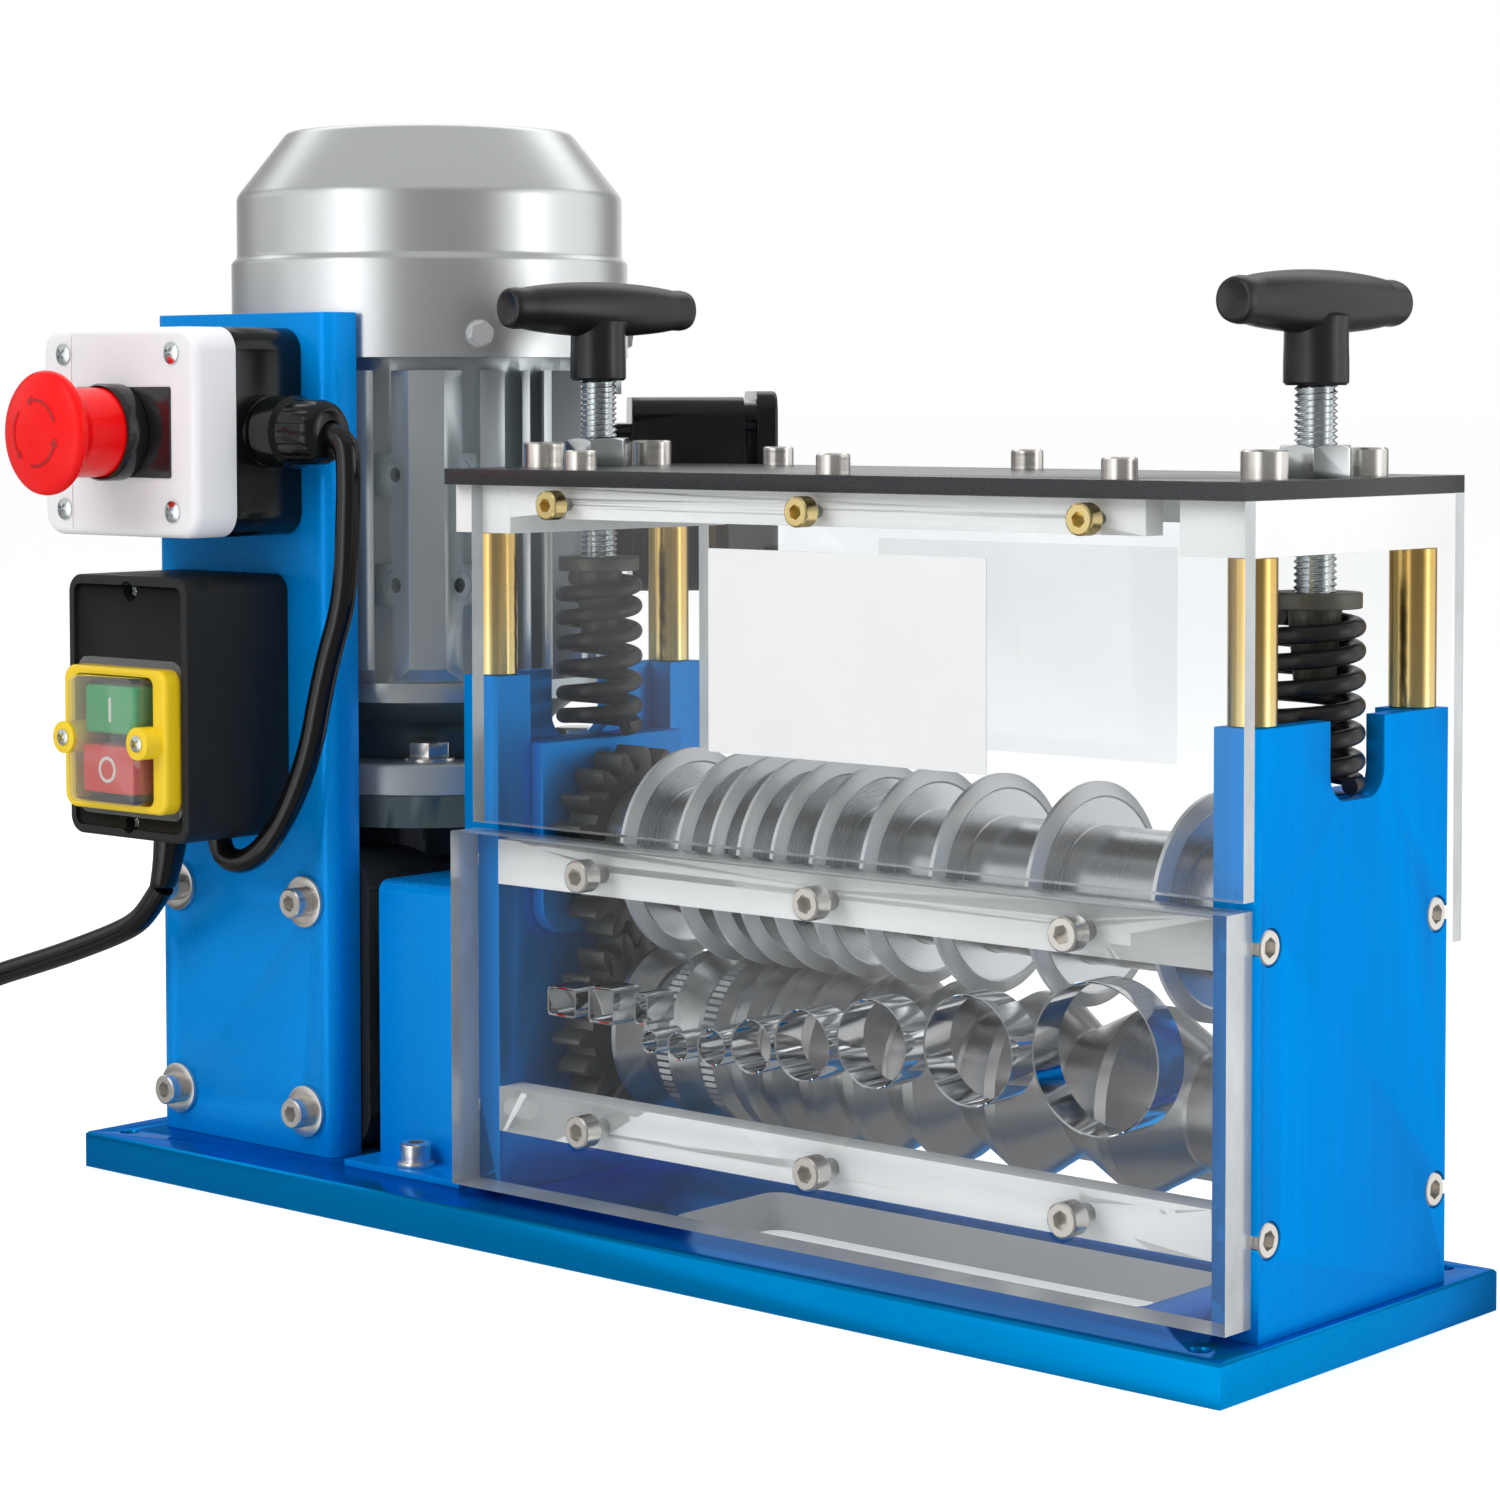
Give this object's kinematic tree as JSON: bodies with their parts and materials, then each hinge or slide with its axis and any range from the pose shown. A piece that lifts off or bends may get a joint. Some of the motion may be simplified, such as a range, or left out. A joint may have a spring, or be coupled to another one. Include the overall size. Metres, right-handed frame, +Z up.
{
  "type": "wire stripping machine",
  "caption": "Motor-driven bench wire stripper with a grooved feed roller, cutter discs, T-handle pressure screws, clear guards, an emergency stop and a push-button switch.",
  "frame": {"origin": "centre of the four base holes at the underside of the base plate", "axes": "+Z up, +X along the base from the motor to the cutting head, +Y to the back"},
  "size_m": [0.7105, 0.3319, 0.353],
  "materials": {
    "blue_aluminium": "blue anodised, satin",
    "white_metal": "white powder coat",
    "yellow_zinc": "yellow zinc plated",
    "black_plate": "black anodised",
    "clear_sheet": "clear polished acrylic",
    "polished_steel": "polished",
    "bright_steel": "nickel plated",
    "machined_steel": "turned steel",
    "dark_steel": "dark, oiled",
    "black_spring_steel": "black",
    "black_plastic": "black, fine matt",
    "white_plastic": "light grey",
    "red_plastic": "red",
    "green_plastic": "green",
    "yellow_plastic": "yellow",
    "grey_plastic": "grey",
    "cast_aluminium": "cast, silver grey paint",
    "silver_paint": "silver grey paint",
    "dark_paint": "black paint",
    "cord_jacket": "black jacket"
  },
  "bodies": {
    "machine": {"base_plate": "blue_aluminium", "cable_gland": "black_plastic", "cord_coil": "cord_jacket", "cross_bars": "white_metal", "cross_blocks": "white_metal", "enclosure_screws": "bright_steel", "estop_base": "black_plastic", "estop_collar": "black_plastic", "estop_cover": "white_plastic", "fan_cover": "silver_paint", "flange_bolts": "bright_steel", "foot_screws": "bright_steel", "frame_screws": "bright_steel", "front_panel": "clear_sheet", "gear_cover": "blue_aluminium", "gearbox": "dark_paint", "guard_bars": "white_metal", "guard_screws": "yellow_zinc", "left_side_plate": "blue_aluminium", "left_spring": "black_spring_steel", "link_cable": "cord_jacket", "lock_nuts": "bright_steel", "lower_bearings": "machined_steel", "mains_plug": "cord_jacket", "motor_bracket": "blue_aluminium", "motor_flange": "cast_aluminium", "motor_housing": "cast_aluminium", "power_cord": "cord_jacket", "right_side_plate": "blue_aluminium", "right_spring": "black_spring_steel", "strain_relief": "cord_jacket", "switch_base": "black_plastic", "switch_boot": "clear_sheet", "switch_cover": "black_plastic", "switch_frame": "yellow_plastic", "terminal_box": "black_plastic", "top_plate": "black_plate", "top_posts": "yellow_zinc", "top_screws": "bright_steel", "upper_guards": "clear_sheet", "wire_guides": "polished_steel"},
    "carriage": {"bearing_blocks": "blue_aluminium", "upper_bearings": "machined_steel"},
    "cutter_shaft": {"upper_shaft": "machined_steel", "cutter_discs": "machined_steel", "disc_spacers": "machined_steel", "upper_gear": "dark_steel"},
    "feed_shaft": {"feed_roller": "machined_steel", "lower_gear": "dark_steel"},
    "fan": {"motor_fan": "cast_aluminium"},
    "left_presser": {"left_spring_seat": "dark_steel"},
    "right_presser": {"right_spring_seat": "dark_steel"},
    "left_screw": {"left_t_screw": "bright_steel", "left_t_handle": "black_plastic"},
    "right_screw": {"right_t_screw": "bright_steel", "right_t_handle": "black_plastic"},
    "stop_plunger": {"estop_stem": "grey_plastic"},
    "stop_head": {"estop_mushroom": "red_plastic"},
    "start_key": {"start_button": "green_plastic"},
    "stop_key": {"stop_button": "red_plastic"}
  },
  "joints": [
    {"name": "carriage_slide", "type": "slide", "parent": "machine", "child": "carriage", "axis": [0, 0, 1], "range_m": [0, 0.005], "deforming": ["left_spring", "right_spring"]},
    {"name": "cutter_spin", "type": "hinge", "parent": "carriage", "child": "cutter_shaft", "pos_m": [0, 0, 0.1193], "axis": [1, 0, 0], "continuous": true},
    {"name": "feed_spin", "type": "hinge", "parent": "machine", "child": "feed_shaft", "pos_m": [0, 0, 0.0623], "axis": [1, 0, 0], "continuous": true},
    {"name": "fan_spin", "type": "hinge", "parent": "machine", "child": "fan", "pos_m": [-0.165, 0.03, 0.31], "axis": [0, 0, 1], "continuous": true},
    {"name": "left_presser_slide", "type": "slide", "parent": "machine", "child": "left_presser", "axis": [0, 0, 1], "range_m": [-0.00525, 0.0035], "deforming": ["left_spring"]},
    {"name": "left_screw_turn", "type": "hinge", "parent": "left_presser", "child": "left_screw", "pos_m": [-0.056, 0, 0.26], "axis": [0, 0, 1], "range_deg": [-1080, 720]},
    {"name": "right_presser_slide", "type": "slide", "parent": "machine", "child": "right_presser", "axis": [0, 0, 1], "range_m": [-0.00525, 0.0035], "deforming": ["right_spring"]},
    {"name": "right_screw_turn", "type": "hinge", "parent": "right_presser", "child": "right_screw", "pos_m": [0.215, 0, 0.26], "axis": [0, 0, 1], "range_deg": [-1080, 720]},
    {"name": "stop_head_push", "type": "slide", "parent": "machine", "child": "stop_plunger", "axis": [0, 1, 0], "range_m": [0, 0.004], "stiffness_N_per_m": 600},
    {"name": "stop_head_turn", "type": "hinge", "parent": "stop_plunger", "child": "stop_head", "pos_m": [-0.184, -0.11, 0.251], "axis": [0, 1, 0], "range_deg": [0, 45], "stiffness_Nm_per_rad": 0.05},
    {"name": "start_push", "type": "slide", "parent": "machine", "child": "start_key", "axis": [0, 1, 0], "range_m": [0, 0.003], "stiffness_N_per_m": 400},
    {"name": "stop_push", "type": "slide", "parent": "machine", "child": "stop_key", "axis": [0, 1, 0], "range_m": [0, 0.003], "stiffness_N_per_m": 400}
  ],
  "couplings": [
    {"joint": "cutter_spin", "follows": "feed_spin", "ratio": -1},
    {"joint": "fan_spin", "follows": "feed_spin", "ratio": 30},
    {"joint": "left_screw_turn", "follows": "left_presser_slide", "rad_per_m": 3590.4},
    {"joint": "right_screw_turn", "follows": "right_presser_slide", "rad_per_m": 3590.4}
  ]
}
